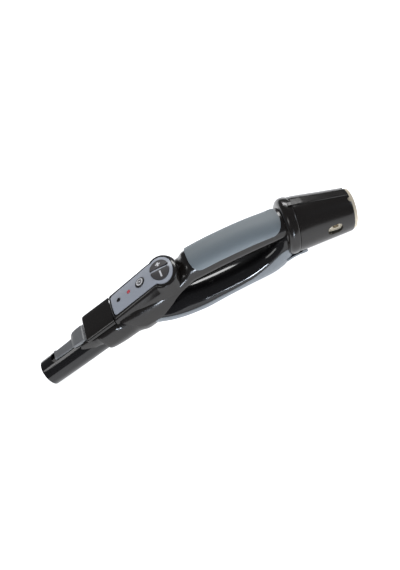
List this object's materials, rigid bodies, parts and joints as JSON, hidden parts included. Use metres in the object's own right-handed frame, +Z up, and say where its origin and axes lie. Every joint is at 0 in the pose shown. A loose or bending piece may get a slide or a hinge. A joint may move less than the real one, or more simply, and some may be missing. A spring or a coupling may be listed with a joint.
{
  "type": "vacuum hose handle",
  "caption": "Hose handle of a canister vacuum: wand spigot with a latch, soft grip, wireless key panel and a swivelling hose socket",
  "frame": {"origin": "below the middle of the handle, level with the lowest point of the spigot's tip", "axes": "+X runs along the handle from the wand end to the hose end, +Z is up through the key panel, +Y is across the handle"},
  "size_m": [0.4268, 0.068, 0.0887],
  "materials": {
    "spring_steel": "bright drawn spring steel",
    "cell_steel": "nickel-plated cell can",
    "board": "green solder mask on fibreglass board",
    "panel_grey": "satin light blue-grey moulding",
    "black": "satin-gloss black moulding",
    "gloss_black": "polished black moulding",
    "pad_grey": "soft-touch blue-grey overmould with a fine grain",
    "steel": "zinc-plated steel",
    "led_red": "red diode body",
    "lens_red": "translucent red lens",
    "emitter_dark": "dark infrared diode",
    "membrane": "pale silicone keypad",
    "latch_grey": "satin mid-grey acetal",
    "cover_grey": "satin light grey moulding",
    "key_grey": "warm dark grey key with a white mark",
    "key_dark": "dark key with a white ring",
    "lens_dark": "dark infrared window",
    "rubber": "black gasket rubber",
    "switch_metal": "stamped metal switch can",
    "cream": "cream moulding"
  },
  "bodies": {
    "handle": {"battery_contact_negative": "spring_steel", "battery_contact_positive": "spring_steel", "coin_cell": "cell_steel", "control_board": "board", "control_panel": "panel_grey", "duct_upper": "gloss_black", "front_shroud": "black", "grip_pad": "pad_grey", "grip_screw_1": "steel", "grip_screw_2": "steel", "grip_underside": "black", "handle_shell": "black", "hose_socket": "black", "indicator_board": "board", "indicator_led": "led_red", "indicator_lens": "lens_red", "infrared_emitter": "emitter_dark", "keypad_membrane": "membrane", "latch_pin": "steel", "latch_spring": "spring_steel", "lip_screw": "steel", "lower_cover": "cover_grey", "rear_collar": "black", "remote_housing": "black", "sensor_lens": "lens_dark", "socket_gasket": "rubber", "spigot_gasket": "rubber", "spigot_tube": "gloss_black", "switch_minus": "switch_metal", "switch_plus": "switch_metal", "switch_power": "switch_metal", "swivel_clip": "spring_steel"},
    "latch": {"latch_lever": "latch_grey"},
    "plus": {"plus_button": "key_grey"},
    "minus": {"minus_button": "key_grey"},
    "power": {"power_button": "key_dark"},
    "cover": {"battery_cover": "black"},
    "swivel": {"swivel_ring": "cream"}
  },
  "joints": [
    {"name": "latch_hinge", "type": "hinge", "parent": "handle", "child": "latch", "pos_m": [-0.13902, 0, 0.04986], "axis": [0, -1, 0], "range_deg": [0, 2.5], "stiffness_Nm_per_rad": 0.6, "deforming": ["latch_spring"]},
    {"name": "plus_press", "type": "slide", "parent": "handle", "child": "plus", "axis": [0, 0, -1], "range_m": [0, 0.0008], "stiffness_N_per_m": 400},
    {"name": "minus_press", "type": "slide", "parent": "handle", "child": "minus", "axis": [0, 0, -1], "range_m": [0, 0.0008], "stiffness_N_per_m": 400},
    {"name": "power_press", "type": "slide", "parent": "handle", "child": "power", "axis": [0, 0, -1], "range_m": [0, 0.0008], "stiffness_N_per_m": 400},
    {"name": "cover_lift", "type": "slide", "parent": "handle", "child": "cover", "axis": [-0.2011, 0, 0.9796], "range_m": [0, 0.025]},
    {"name": "hose_swivel", "type": "hinge", "parent": "handle", "child": "swivel", "pos_m": [0.137, 0, 0.0518], "axis": [0.9603, 0, -0.279], "continuous": true}
  ]
}
